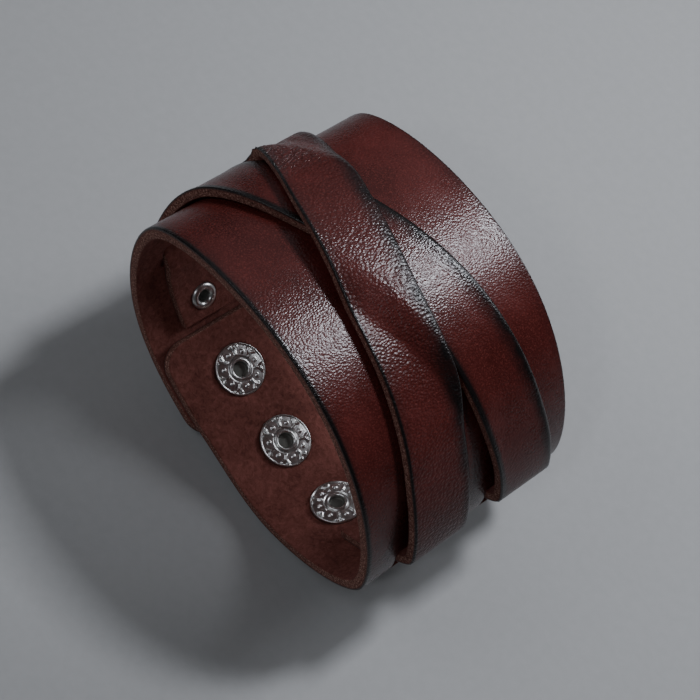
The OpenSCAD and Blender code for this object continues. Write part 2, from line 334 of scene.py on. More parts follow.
# A sheet of leather with a rounded cut edge: grain grid, flesh grid and a wall round them
def leatherSheet(name, outer, inner, fromEdge, crisp, lineWidth, paintedShade, bulge):
    rows, cols = fromEdge.shape
    count = rows * cols
    wallRows = edges["wallRows"]
    border = [(0, j) for j in range(cols)]
    border += [(i, cols - 1) for i in range(1, rows)]
    border += [(rows - 1, j) for j in range(cols - 2, -1, -1)]
    border += [(i, 0) for i in range(rows - 2, 0, -1)]
    wall = wallPoints(outer, inner, border, bulge)
    points = np.concatenate([outer.reshape(-1, 3), inner.reshape(-1, 3), wall])
    faces = []
    for i in range(rows - 1):
        for j in range(cols - 1):
            a = i * cols + j
            faces.append((a, a + cols, a + cols + 1, a + 1))
            faces.append((count + a + 1, count + a + cols + 1, count + a + cols, count + a))

    def ringPoint(k, n):
        i, j = border[n % len(border)]
        if k == 0:
            return i * cols + j
        if k == wallRows:
            return count + i * cols + j
        return 2 * count + (k - 1) * len(border) + n % len(border)

    for k in range(wallRows):
        for n in range(len(border)):
            faces.append((ringPoint(k, n), ringPoint(k, n + 1), ringPoint(k + 1, n + 1), ringPoint(k + 1, n)))
    sheet = addMesh(name, points, faces)
    line, shade = edgeDyesAndPaintedShade(fromEdge, crisp, lineWidth, paintedShade)
    onEdge = (fromEdge.reshape(-1) < edges["onEdge"]).astype(float)
    none = np.zeros(count)
    noWall = np.zeros(len(wall))
    for attributeName, values in (
            ("edgeLine", [line, none, noWall]),
            ("softDyeAndPaintedShade", [shade, none, noWall]),
            ("cutFace", [onEdge * edges["faceStart"], onEdge, noWall + 1]),
            ("grainSide", [none + 1, none, noWall])):
        setPointValues(sheet.data, attributeName, np.concatenate(values))
    return sheet


# How dark the painted shade makes the hide at a distance along the band
def paintedShadeAt(d):
    return paintedLowShade["strength"] * ease((paintedLowShade["from"] - d) / paintedLowShade["run"])


# Grid lines from -1 to 1 that crowd towards the edges, for a strip of a given half width
def acrossLines(halfWidth, count):
    nearEdge = np.array(edges["rows"]) / halfWidth
    middle = np.linspace(nearEdge[-1], 2 - nearEdge[-1], count)[1:-1]
    return np.concatenate([nearEdge, middle, 2 - nearEdge[::-1]]) - 1


# Grid lines between two ends, crowded towards both
def alongLines(start, end, step):
    nearEnd = np.array(edges["rows"])
    last = nearEnd[-1]
    count = int((end - start - 2 * last) / step)
    middle = np.linspace(start + last, end - last, count)[1:-1]
    return np.concatenate([start + nearEnd, middle, end - nearEnd[::-1]])


# Round cutter about the outward direction at a place on the band; the profile is (radius, height) pairs
def latheCutter(d, y, profile, sides=48):
    place, out, along = axisAt(d, y)
    side = np.array([0.0, 1.0, 0.0])
    third = np.cross(out, side)
    points = []
    for radius, height in profile:
        for k in range(sides):
            turn = 2 * math.pi * k / sides
            points.append(place + out * height + radius * (math.cos(turn) * third + math.sin(turn) * side))
    faces = [tuple(range(sides))[::-1]]
    for r in range(len(profile) - 1):
        for k in range(sides):
            a = r * sides + k
            b = r * sides + (k + 1) % sides
            faces.append((a, b, b + sides, a + sides))
    last = (len(profile) - 1) * sides
    faces.append(tuple(range(last, last + sides)))
    return np.array(points), faces


# Slot cutter: a punched opening with rounded corners, through both faces
def slotCutter(d, y, halfWide, halfLong):
    place, out, along = axisAt(d, y)
    corner = straps["slotCorner"]
    arcSteps = 4
    outline = []
    for cx, cy, start in ((1, 1, 0), (-1, 1, 90), (-1, -1, 180), (1, -1, 270)):
        for k in range(arcSteps + 1):
            turn = math.radians(start + 90 * k / arcSteps)
            outline.append((cx * (halfWide - corner) + corner * math.cos(turn),
                            cy * (halfLong - corner) + corner * math.sin(turn)))
    points = []
    for height in (-3 * band["thick"], 1.5 * band["thick"]):
        for u, v in outline:
            points.append(place + out * height + along * u + np.array([0, v, 0]))
    n = len(outline)
    faces = [tuple(range(n))[::-1], tuple(range(n, 2 * n))]
    for k in range(n):
        a = k
        b = (k + 1) % n
        faces.append((a, b, b + n, a + n))
    return np.array(points), faces


# Cuts all the holes of a sheet at once; their walls show cut fibre
def punch(sheet, cutters):
    points = []
    faces = []
    base = 0
    for cutPoints, cutFaces in cutters:
        points.append(cutPoints)
        faces += [tuple(base + v for v in face) for face in cutFaces]
        base += len(cutPoints)
    cutter = addMesh("punch", np.concatenate(points), faces, False)
    for attributeName, value in (("edgeLine", 0.0), ("softDyeAndPaintedShade", 0.0), ("cutFace", 1.0), ("grainSide", 0.0)):
        setPointValues(cutter.data, attributeName, np.full(base, value))
    cutter.select_set(True)
    bpy.context.view_layer.objects.active = cutter
    bpy.ops.object.mode_set(mode="EDIT")
    bpy.ops.mesh.select_all(action="SELECT")
    bpy.ops.mesh.normals_make_consistent(inside=False)
    bpy.ops.object.mode_set(mode="OBJECT")
    modifier = sheet.modifiers.new("holes", "BOOLEAN")
    modifier.operation = "DIFFERENCE"
    modifier.solver = "MANIFOLD"
    modifier.object = cutter
    bpy.context.view_layer.objects.active = sheet
    bpy.ops.object.modifier_apply(modifier=modifier.name)
    bpy.data.objects.remove(cutter)


# Distance from a point of the band to the outline of a round-cornered strip
def stripEdgeDistance(d, y):
    radius = band["cornerRadius"]
    fromSide = band["width"] / 2 - np.abs(y)
    fromEnd = np.minimum(d, bandLength - d)
    inCorner = (fromSide < radius) & (fromEnd < radius)
    corner = radius - np.hypot(radius - fromSide, radius - fromEnd)
    return np.maximum(np.where(inCorner, corner, np.minimum(fromSide, fromEnd)), 0)


# A shallow dish pressed into a face round a fastener
def dish(d, y, atD, atY, radius, reach, depth):
    away = np.hypot(d - atD, y - atY)
    return depth * ease((radius + reach - away) / reach)


studPlaces = []
for row in (-1, 1):
    for k in range(3):
        studPlaces.append((snaps["studMargin"] + k * snaps["studPitch"], row * snaps["rowOffset"]))
capPlaces = [(bandLength - snaps["capMargin"], row * snaps["rowOffset"]) for row in (-1, 1)]
rivetPlaces = {}
for routeName in ("underRoute", "overRoute"):
    ends = (straps["studSlot"] - straps["rivetFromSlot"], straps["capSlot"] + straps["rivetFromSlot"])
    rivetPlaces[routeName] = [(d, float(routeAt(routeName, np.array(d)))) for d in ends]


# Distances along the band of its grid rows, close together at the ends and the rounded corners
def bandRows():
    radius = band["cornerRadius"]
    turns = np.radians(np.linspace(0, 90, band["cornerRows"]))
    corner = radius * (1 - np.cos(turns))
    plain = alongLines(0, bandLength, band["gridStep"])
    rows = np.unique(np.round(np.concatenate([plain, corner, bandLength - corner]), 3))
    rows = rows[np.concatenate([[True], np.diff(rows) > band["rowsApart"]])]
    rows[-1] = bandLength
    return rows


# Stepped holes for the studs: the flange's seat inside, the barrel, the plate outside
def studHoles():
    room = snaps["room"]
    seat = -band["thick"] + snaps["flangeSeat"]
    plate = -snaps["plateThick"] - room
    profile = (
        (snaps["flangeRadius"] + room, -2 * band["thick"]),
        (snaps["flangeRadius"] + room, seat),
        (snaps["barrelRadius"] + room, seat),
        (snaps["barrelRadius"] + room, plate),
        (snaps["plateRadius"] + room, plate),
        (snaps["plateRadius"] + room, snaps["plateClear"]))
    return [latheCutter(atD, atY, profile) for atD, atY in studPlaces]


# Stepped holes for the two sockets and their caps
def capHoles():
    room = snaps["room"]
    profile = (
        (snaps["socketRadius"] + room, -band["thick"] - 0.5 * loop["layerGap"]),
        (snaps["socketRadius"] + room, -snaps["socketBack"] + room),
        (snaps["shankRadius"] + room, -snaps["socketBack"] + room),
        (snaps["shankRadius"] + room, -snaps["capSeat"]),
        (snaps["capRadius"] + room, -snaps["capSeat"]),
        (snaps["capRadius"] + room, band["thick"]))
    return [latheCutter(atD, atY, profile) for atD, atY in capPlaces]


# The two slots and two rivet holes of one strap
def strapHoles(routeName):
    barrel = straps["rivetBarrel"] + snaps["room"]
    holes = []
    for atD, atY in rivetPlaces[routeName]:
        holes.append(latheCutter(atD, atY, ((barrel, -2 * band["thick"]), (barrel, 1.0))))
    for slot in (straps["studSlot"], straps["capSlot"]):
        at = np.array(slot)
        middle = float(routeAt(routeName, at))
        halfLong = halfWidthAt(routeName, at) + straps["slotSide"]
        halfLong = halfLong + abs(leanAt(routeName, at)) * straps["slotWidth"] / 4
        holes.append(slotCutter(slot, middle, straps["slotWidth"] / 2, float(halfLong)))
    return holes


def makeBand():
    radius = band["cornerRadius"]
    d1 = bandRows()
    t1 = acrossLines(band["width"] / 2, int(band["width"] / band["gridStep"]))
    fromEnd = np.minimum(d1, bandLength - d1)
    inset = radius - np.sqrt(np.clip(radius ** 2 - (radius - fromEnd) ** 2, 0, None))
    half = band["width"] / 2 - np.where(fromEnd < radius, inset, 0)
    d = np.repeat(d1[:, None], len(t1), 1)
    y = half[:, None] * t1[None, :]
    fromEdge = stripEdgeDistance(d, y)
    fromEdge[0, :] = 0
    fromEdge[-1, :] = 0
    fromEdge[:, 0] = 0
    fromEdge[:, -1] = 0
    # the hide lies uneven, but not at its edges and fasteners
    swell = band["waviness"] * unevenness(d, y, 1) * ease((fromEdge - 1) / 6)
    swell = swell * stepOver(d, band["wavyInner"]) * stepOver(bandLength - d, band["wavyOuter"])
    low = np.minimum(swell, 0)
    outward, along = frameAt(d, y, lambda dd, yy: 0 * dd)
    outer = placeAt(d, y, low) - outward * edgeDrop(fromEdge, band["edgeRound"])[..., None]
    lift = edgeDrop(fromEdge, band["backRound"])
    for atD, atY in studPlaces:
        pressed = dish(d, y, atD, atY, snaps["flangeRadius"], snaps["dishReach"], snaps["dishDepth"])
        lift = np.maximum(lift, pressed)
    inner = placeAt(d, y, low - band["thick"]) + outward * lift[..., None]
    lineWidth = np.where(y > 0, band["farLineWidth"], band["lineWidth"])
    sheet = leatherSheet("cuff_band", outer, inner, fromEdge, np.ones_like(fromEdge), lineWidth,
                         paintedShadeAt(d), band["wallBulge"])
    punch(sheet, studHoles() + capHoles() + strapHoles("underRoute") + strapHoles("overRoute"))
    return sheet


# How a strap bows away from the band at a distance outside a slot
def bowAt(fromSlot):
    return ease(fromSlot / straps["bowRise"]) * (1 - ease((fromSlot - straps["bowRise"]) / straps["bowFall"]))


# Height of a strap's middle over the band: outside between the slots, inside beyond them
def strapHeight(d):
    outside = straps["rest"] + straps["thick"] / 2
    inside = -band["thick"] - straps["rest"] - straps["thick"] / 2
    through = np.minimum(ease((d - straps["studSlot"]) / straps["passLength"] + 0.5),
                         ease((straps["capSlot"] - d) / straps["passLength"] + 0.5))
    bow = straps["bowStud"] * bowAt(d - straps["studSlot"]) + straps["bowCap"] * bowAt(straps["capSlot"] - d)
    return inside + bow + (outside - inside) * through


# How the upper strap lies over the lower one, in mm. Pairs are a start and a run: along the band, or
# past the edge of the lower strap. A side is a share of the strap's half width, from its left edge.
crossing = {
    "past": 0.7,             # it stays up this far beyond the lower strap, then comes down
    "tight": 3.0,
    "slack": 8.0,
    "slackAlong": (100.0, 35.0),
    "gentle": 4.0,           # towards the cap end its right half comes down more gently
    "gentleAlong": (128.0, 12.0),
    "gentleSide": 1.2,
    "close": 0.8,            # and its left edge more steeply
    "closeAlong": (145.0, 8.0),
    "closeSide": 0.7,
    "turnAlong": (154.6, 6.0),   # at the corner the left edge turns down along the lower strap
    "turnPast": (0.1, 0.2),
    "turnSide": 0.85,
    "fill": 0.85,            # there its wall swells down towards the band
    "fillAlong": (148.0, 4.0),
    "fillPast": (0.15, 0.5),
    "fillSide": 0.25,
    "flare": 2.2,            # and the left edge flares out, where the strap bends down to its slot
    "flareAlong": (155.2, 6.5),
    "flareFade": (164.0, 8.0),
    "softGrow": 1.1,         # how much rounder the right edge gets
    "softAlong": (135.0, 15.0),
    "wrinkleAlong": (143.0, 6.0),   # tight wrinkles where it bends
    "wrinkleFade": (160.0, 6.0),
}

curls = {
    "under": 0.35,           # edges of the lower strap turn up, except where the other lies on it
    "underFree": (1.0, 5.0),
    "over": 0.25,            # the upper strap's left edge turns up a little beyond the crossing
    "overAlong": (100.0, 15.0),
    "overFade": (140.0, 12.0),
    "slotClear": (4.0, 8.0),
    "fold": 0.07,            # short folds across the upper strap where it bends down to its slot
    "foldAt": 156.0,
    "foldSpread": 5.0,
    "foldLength": 1.904,
    "foldWander": 0.9,
    "wanderLength": 5.712,
}


def nothingAt(d, t, y):
    return 0 * d


# 1 at a strap's left edge, 0 from a side on
def nearLeft(t, side):
    return 1 - ease((t + 1) / side)


# How far the upper strap is carried up by the lower one, and how it comes down beside it
def liftAt(d, y):
    off = y - routeAt("underRoute", d)
    past = off - halfWidthAt("underRoute", d)
    beside = np.abs(off) - halfWidthAt("underRoute", d) - crossing["past"]
    t = (y - routeAt("overRoute", d)) / halfWidthAt("overRoute", d)
    slack = crossing["slack"] * stepOver(d, crossing["slackAlong"])
    gentle = crossing["gentle"] * (1 - nearLeft(t, crossing["gentleSide"]))
    gentle = gentle * stepOver(d, crossing["gentleAlong"])
    close = crossing["close"] * nearLeft(t, crossing["closeSide"]) * stepOver(d, crossing["closeAlong"])
    drape = crossing["tight"] + np.where(off < 0, slack, gentle - close)
    turned = stepOver(d, crossing["turnAlong"]) * stepOver(past, crossing["turnPast"])
    turned = turned * nearLeft(t, crossing["turnSide"])
    return (straps["thick"] + 2 * straps["rest"]) * ease(1 - beside / drape) * (1 - turned)


# Beyond the lower strap's right edge the upper one's left edge is swollen down to the band
def fillUnder(d, t, y):
    past = y - routeAt("underRoute", d) - halfWidthAt("underRoute", d)
    swollen = crossing["fill"] * liftAt(d, y) * stepOver(past, crossing["fillPast"])
    return swollen * nearLeft(t, crossing["fillSide"]) * stepOver(d, crossing["fillAlong"])


def flareAt(d):
    return crossing["flare"] * stepOver(d, crossing["flareAlong"]) * (1 - stepOver(d, crossing["flareFade"]))


def wrinkleAt(d):
    return stepOver(d, crossing["wrinkleAlong"]) * (1 - stepOver(d, crossing["wrinkleFade"]))


def outsideShare(d):
    afterSlot = stepOver(d - straps["studSlot"], curls["slotClear"])
    return afterSlot * stepOver(straps["capSlot"] - d, curls["slotClear"])


def curlUnder(d, t, y):
    beside = np.abs(y - routeAt("overRoute", d)) - halfWidthAt("overRoute", d)
    return outsideShare(d) * stepOver(beside, curls["underFree"]) * curls["under"] * np.abs(t) ** 4


def curlOver(d, t, y):
    turned = curls["over"] * np.clip(-t, 0, 1) ** 5
    turned = turned * stepOver(d, curls["overAlong"]) * (1 - stepOver(d, curls["overFade"]))
    wander = curls["foldWander"] * np.sin(2 * math.pi * d / curls["wanderLength"])
    folds = curls["fold"] * np.sin(2 * math.pi * y / curls["foldLength"] + wander)
    folds = folds * np.exp(-((d - curls["foldAt"]) / curls["foldSpread"]) ** 2)
    return outsideShare(d) * (turned + folds * (1 - t ** 2))


lowerStrapShape = {
    "route": "underRoute",
    "height": lambda d, y: strapHeight(d),
    "curl": curlUnder,
    "fill": nothingAt,
    "flare": lambda d: 0 * d,
    "wrinkle": lambda d: 0 * d,
    "softGrow": 0.0,
    "lineWidth": 0.95,
    "seed": 1.0,
}

upperStrapShape = {
    "route": "overRoute",
    "height": lambda d, y: strapHeight(d) + liftAt(d, y),
    "curl": curlOver,
    "fill": fillUnder,
    "flare": flareAt,
    "wrinkle": wrinkleAt,
    "softGrow": crossing["softGrow"],
    "lineWidth": 0.4,
    "seed": 2.0,
}


# The tubular rivets sink a little into the inner face of a tab
def rivetSeats(routeName):
    room = snaps["room"]
    face = -band["thick"] - straps["rest"] - straps["thick"]
    seat = face + straps["rivetSeat"]
    inside, outside = straps["cutterClear"]
    profile = (
        (straps["rivetRadius"] + room, face - inside),
        (straps["rivetRadius"] + room, seat),
        (straps["rivetBarrel"] + room, seat),
        (straps["rivetBarrel"] + room, -band["thick"] + outside))
    return [latheCutter(atD, atY, profile) for atD, atY in rivetPlaces[routeName]]


def makeStrap(name, shape):
    routeName = shape["route"]
    start = straps["studSlot"] - straps["tabLength"]
    end = straps["capSlot"] + straps["tabLength"]
    d1 = alongLines(start, end, straps["gridStep"])
    t1 = acrossLines(straps["width"] / 2, straps["columns"])
    middle = routeAt(routeName, d1)
    half = halfWidthAt(routeName, d1)
    leftRun, rightRun = straps["wanderRuns"]
    left = middle - half + straps["wander"] * np.sin(d1 / leftRun + shape["seed"]) - shape["flare"](d1)
    right = middle + half - straps["wander"] * np.sin(d1 / rightRun + 2 * shape["seed"])
    d = np.repeat(d1[:, None], len(t1), 1)
    t = t1[None, :] + 0 * d
    y = left[:, None] + (right - left)[:, None] * (t + 1) / 2
    square = np.cos(np.arctan(leanAt(routeName, d)))
    fromSide = np.minimum(y - left[:, None], right[:, None] - y) * square
    fromEdge = np.maximum(np.minimum(fromSide, np.minimum(d - start, end - d)), 0)
    height = shape["height"](d, y) + shape["curl"](d, t, y)
    outward, along = frameAt(d, y, shape["height"])
    # the left edge is cut square, the right one skived and pressed down
    crisp = ease(0.5 - t * 2)
    soft = straps["softRound"] + shape["softGrow"] * stepOver(d, crossing["softAlong"])
    rounding = soft + (straps["crispRound"] - soft) * crisp
    drop = np.minimum(edgeDrop(fromEdge, rounding), straps["mostRound"] * straps["thick"])
    outer = placeAt(d, y, height) + outward * (straps["thick"] / 2 - drop)[..., None]
    under = straps["thick"] / 2 - edgeDrop(fromEdge, straps["backRound"]) + shape["fill"](d, t, y)
    inner = placeAt(d, y, height) - outward * under[..., None]
    sheet = leatherSheet(name, outer, inner, fromEdge, crisp, shape["lineWidth"],
                         paintedShadeAt(d), straps["wallBulge"])
    wrinkles = np.zeros(len(sheet.data.vertices))
    wrinkles[:d.size] = shape["wrinkle"](d).reshape(-1)
    setPointValues(sheet.data, "wrinkle", wrinkles)
    punch(sheet, rivetSeats(routeName))
    return sheet


print("leather")
bandSheet = makeBand()
lowerStrap = makeStrap("strap_lower", lowerStrapShape)
upperStrap = makeStrap("strap_upper", upperStrapShape)
for sheet, nodeName, slotName in (
        (bandSheet, "band", "band_leather"),
        (lowerStrap, "strap_under", "strap_leather"),
        (upperStrap, "strap_over", "strap_leather")):
    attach(sheet, "root")
    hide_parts(nodeName)
    print(sheet.name, len(sheet.data.polygons), "faces")


eyelet = {
    "collarRadius": 2.15,
    "collarHeight": 0.3,
    "rimWidth": 0.35,
    "rimHeight": 0.2,
    "boreDepth": 0.9,
    "boreDark": (0.3, 0.25),   # the bore's painted shade fades between these heights, over its floor and below the face
    "floorRings": (0.5, 1.0),
    "floorThick": 0.4,
    "footRound": 0.12,
    "endRound": 0.06,
    "seamRound": 0.08,
    "seatGap": 0.05,
    "marks": 7,              # Y marks on a flange, with a dot between each two
    "markClear": 0.02,       # they keep this far off the collar and the rim
    "markStartDeg": 10.0,
    "forkRadius": 3.65,
    "stemLength": 0.75,
    "armLength": 0.9,
    "armTurnDeg": 40.0,
    "strokeHalf": 0.36,      # half width of a raised stroke where it meets the flange
    "lobeHalf": 0.5,
    "dotRadius": 3.35,
    "dotHalf": 0.5,
    "relief": 0.34,
    "crown": 0.22,           # the flange is slightly domed
    "sides": 196,
    "ringStep": 0.08,
}


# Distance from points to a straight stroke between two places, all in the flange's plane
def strokeDistance(x, y, x0, y0, x1, y1):
    length = (x1 - x0) ** 2 + (y1 - y0) ** 2
    share = np.clip(((x - x0) * (x1 - x0) + (y - y0) * (y1 - y0)) / length, 0, 1)
    return np.hypot(x - x0 - share * (x1 - x0), y - y0 - share * (y1 - y0))


# Raised Y marks and dots, domed as a stamping die leaves them
def markRise(radius, turn):
    pitch = 2 * math.pi / eyelet["marks"]
    fromMark = (turn - math.radians(eyelet["markStartDeg"]) + pitch / 2) % pitch - pitch / 2
    x = radius * np.cos(fromMark)
    y = np.abs(radius * np.sin(fromMark))
    fork = eyelet["forkRadius"]
    tipX = fork + eyelet["armLength"] * math.cos(math.radians(eyelet["armTurnDeg"]))
    tipY = eyelet["armLength"] * math.sin(math.radians(eyelet["armTurnDeg"]))
    stem = strokeDistance(x, y, fork - eyelet["stemLength"], 0, fork, 0)
    arm = strokeDistance(x, y, fork, 0, tipX, tipY)
    stroke = 1 - np.minimum(stem, arm) / eyelet["strokeHalf"]
    lobe = 1 - np.hypot(x - tipX, y - tipY) / eyelet["lobeHalf"]
    dotX = eyelet["dotRadius"] * math.cos(pitch / 2)
    dotY = eyelet["dotRadius"] * math.sin(pitch / 2)
    dot = 1 - np.hypot(x - dotX, y - dotY) / eyelet["dotHalf"]
    return eyelet["relief"] * ease(np.maximum(np.maximum(stroke, lobe), dot))


# Half ring between two radii: (radius, rise) pairs from the inner side to the outer one
def halfRing(inside, outside, rise, steps=8):
    middle = (inside + outside) / 2
    half = (outside - inside) / 2
    turns = [math.pi * (1 - k / steps) for k in range(steps + 1)]
    return [(middle + half * math.cos(turn), rise * math.sin(turn)) for turn in turns]


# Turned metal part about the outward direction at a place on the band, with a value of painted shade and
# dullness for each ring
def turnedPart(name, d, y, rings, sides, closed, riseAt=None):
    place, out, along = axisAt(d, y)
    turn = 2 * math.pi * np.arange(sides) / sides
    round1 = -np.cos(turn)[:, None] * along + np.sin(turn)[:, None] * np.array([0.0, 1.0, 0.0])
    points = []
    dark = []
    for radius, height, darkness in rings:
        rise = riseAt(radius, turn) if riseAt and radius > 0 else 0 * turn
        points.append(place + out * (height - rise)[:, None] + radius * round1)
        dark += [darkness] * sides
    count = len(rings)
    faces = []
    for r in range(count if closed else count - 1):
        for k in range(sides):
            a = r * sides + k
            b = r * sides + (k + 1) % sides
            c = (r + 1) % count * sides
            faces.append((a, c + k, c + (k + 1) % sides, b))
    points = np.concatenate(points)
    if not closed:
        # the first and last rings close on a point of the axis
        for first, ring in ((True, 0), (False, count - 1)):
            centre = len(points)
            height = rings[ring][1]
            points = np.concatenate([points, (place + out * height)[None, :]])
            dark.append(rings[ring][2])
            for k in range(sides):
                a = ring * sides + k
                b = ring * sides + (k + 1) % sides
                faces.append((centre, a, b) if first else (centre, b, a))
    part = addMesh(name, points, faces)
    setPointValues(part.data, "dullAndPaintedShade", dark)
    return part


# Rings of an eyelet: radius, height over the band's outside, painted shade with dullness from 0 bright to 1
def eyeletRings():
    face = -band["thick"] + snaps["flangeSeat"] - eyelet["seatGap"] - snaps["flangeThick"]
    under = face + snaps["flangeThick"]
    end = snaps["studHeight"]
    edge = snaps["flangeRadius"]
    bore = snaps["boreRadius"]
    barrel = snaps["barrelRadius"]
    floor = face - eyelet["collarHeight"] + eyelet["boreDepth"]
    back = floor + eyelet["floorThick"]
    foot = eyelet["footRound"]
    lip = eyelet["endRound"]
    seam = eyelet["seamRound"]
    overFloor, belowFace = eyelet["boreDark"]
    # the floor and the lower bore are painted dark as shade
    rings = [(radius, floor, 1.0) for radius in eyelet["floorRings"]]
    rings += [(bore - foot, floor, 1.0), (bore - foot / 6, floor - foot * 5 / 6, 1.0)]
    rings += [(bore, floor - overFloor, 0.7), (bore, face + belowFace, 0.2)]
    for radius, rise in halfRing(bore, eyelet["collarRadius"], eyelet["collarHeight"]):
        rings.append((radius, face - rise, 0.0))
    flatStart = eyelet["collarRadius"]
    flatEnd = edge - eyelet["rimWidth"]
    count = int((flatEnd - flatStart) / eyelet["ringStep"])
    for radius in np.linspace(flatStart, flatEnd, count)[1:-1]:
        across = (float(radius) - flatStart) / (flatEnd - flatStart)
        rings.append((float(radius), face - eyelet["crown"] * (1 - across ** 2) * ease(across * 6), 0.0))
    for radius, rise in halfRing(flatEnd, edge, eyelet["rimHeight"]):
        rings.append((radius, face - rise, 0.0))
    rings += [(edge, (face + under) / 2, 0.0), (edge - foot / 3, under, 0.0)]
    rings += [(barrel + foot * 5 / 6, under, 0.3), (barrel, under + seam, 0.3)]
    rings += [(barrel, end - foot, 0.0), (barrel - lip, end, 0.0)]
    rings += [(bore + lip, end, 0.0), (bore, end - foot * 5 / 6, 0.5)]
    rings += [(bore, back + seam, 1.0), (bore - seam, back, 1.0), (eyelet["floorRings"][0], back, 1.0)]
    return rings, flatStart, flatEnd


def makeEyelet(name, d, y):
    rings, flatStart, flatEnd = eyeletRings()
    clear = eyelet["markClear"]

    # marks rise on the flat ring alone
    def riseAt(radius, turn):
        return markRise(radius, turn) * (flatStart + clear < radius < flatEnd - clear)

    return turnedPart(name, d, y, rings, eyelet["sides"], False, riseAt)


# Tubular rivet, its two ends rolled over to smooth rings
def makeRivet(name, d, y):
    inside = -band["thick"] - straps["rest"] - straps["thick"] + straps["rivetSeat"] - eyelet["seatGap"]
    outside = eyelet["seatGap"]
    bore = straps["rivetBore"]
    barrel = straps["rivetBarrel"]
    tucked = straps["rivetRadius"] - straps["rivetTuck"]
    deep = eyelet["boreDark"][0]
    rolled = halfRing(bore, straps["rivetRadius"], straps["rivetRound"], 16)
    rings = [(radius, inside - rise, 0.0) for radius, rise in rolled]
    rings += [(tucked, inside, 0.3), (barrel, inside, 0.3), (barrel, outside, 0.3), (tucked, outside, 0.3)]
    rings += [(radius, outside + rise, 0.0) for radius, rise in reversed(rolled)]
    # the bore is painted dark as shade
    rings += [(bore, outside - deep, 1.0), (bore, inside + deep, 1.0)]
    return turnedPart(name, d, y, rings, straps["rivetSides"], True)


print("eyelets and rivets")
turnedParts = []
for index, (atD, atY) in enumerate(studPlaces):
    side = "near" if atY < 0 else "far"
    ending = side + "_" + str(index % 3 + 1)
    turnedParts.append((makeEyelet("eyelet_flange_" + ending, atD, atY), "eyelet_" + ending))
for routeName, strapName in (("underRoute", "under"), ("overRoute", "over")):
    for (atD, atY), end in zip(rivetPlaces[routeName], ("stud_end", "cap_end")):
        ending = strapName + "_" + end
        turnedParts.append((makeRivet("tube_rivet_" + ending, atD, atY), "rivet_" + ending))
for part, nodeName in turnedParts:
    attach(part, "root")
    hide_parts(nodeName)
    low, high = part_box(nodeName)
    own = np.array([list(v.co) for v in part.data.vertices])
    gap = max(np.abs(own.min(0) - np.array(low)).max(), np.abs(own.max(0) - np.array(high)).max())
    print(part.name, len(part.data.polygons), "faces, box off", round(gap / mm, 3), "mm")


def linearColour(code):
    values = [int(code[i:i + 2], 16) / 255 for i in (1, 3, 5)]
    linear = [v / 12.92 if v <= 0.04045 else ((v + 0.055) / 1.055) ** 2.4 for v in values]
    return (*linear, 1.0)


# Adds a node with its settings, input values and links
def addNode(tree, kind, settings=None, values=None, links=None):
    node = tree.nodes.new(kind)
    for key, value in (settings or {}).items():
        setattr(node, key, value)
    for key, value in (values or {}).items():
        node.inputs[key].default_value = value
    for key, source in (links or {}).items():
        tree.links.new(source, node.inputs[key])
    return node


def startMaterial(name):
    material = bpy.data.materials.new(name)
    material.use_nodes = True
    tree = material.node_tree
    tree.nodes.clear()
    output = addNode(tree, "ShaderNodeOutputMaterial")
    shader = addNode(tree, "ShaderNodeBsdfPrincipled")
    tree.links.new(shader.outputs["BSDF"], output.inputs["Surface"])
    place = addNode(tree, "ShaderNodeTexCoord")
    inMm = addNode(tree, "ShaderNodeMapping", None, {"Scale": (1000, 1000, 1000)},
                   {"Vector": place.outputs["Object"]})
    return material, tree, shader, inMm.outputs["Vector"]


def setStops(ramp, stops):
    elements = ramp.color_ramp.elements
    while len(elements) < len(stops):
        elements.new(0.5)
    for element, (position, code) in zip(elements, stops):
        element.position = position
        element.color = linearColour(code)


oilTannedCowhide = {
    "grainDark": "#3d1411",
    "grainMid": "#4b1b18",
    "grainLight": "#56221f",
    "speck": "#7c3a33",
    # near black of the edge dye, also used for the painted shade on the lower part
    "dyeAndPaintedShadeColour": "#120d0d",
    "fleshDark": "#52281f",
    "fleshMid": "#744037",
    "fleshLight": "#94594f",
    "cutDark": "#3a211b",
    "cutMid": "#7f4f43",
    "cutLight": "#d2ab99",
    # noises: mm across one patch, speck or fibre, then detail, roughness and distortion
    "noises": {
        "cloud": (11.0, 5, 0.6, 0.4),
        "openPores": (0.3, 3, 0.7, 0.0),
        "fray": (3.1, 4, 0.5, 0.0),      # how the dye at the edges and the painted shade come and go
        "nap": (0.9, 8, 0.72, 0.8),
        "patch": (7.0, 3, 0.5, 0.0),
        "fibre": (0.32, 4, 0.8, 0.5),    # coarser than real fibre, so that it shows
        "fine": (0.17, 2, 0.6, 0.0),
        "wrinkle": (0.65, 2, 0.5, 0.8),  # tight wrinkles on the inside of a bend
        "crease": (2.6, 3, 0.5, 0.6),
    },
    "drawnOut": {"pebble": 0.72, "wrinkle": 0.45},   # along the wrist, across the bend
    "pebbleSize": 0.32,
    "pebbleDepth": 0.052,
    "fineDepth": 0.012,
    "wrinkleDepth": 0.7,
    "creaseDepth": 0.035,
    "napDepth": 0.22,
    "gloss": (0.23, 0.31),   # roughness of the waxed grain, from and to
    "dryRoughness": 0.92,
}
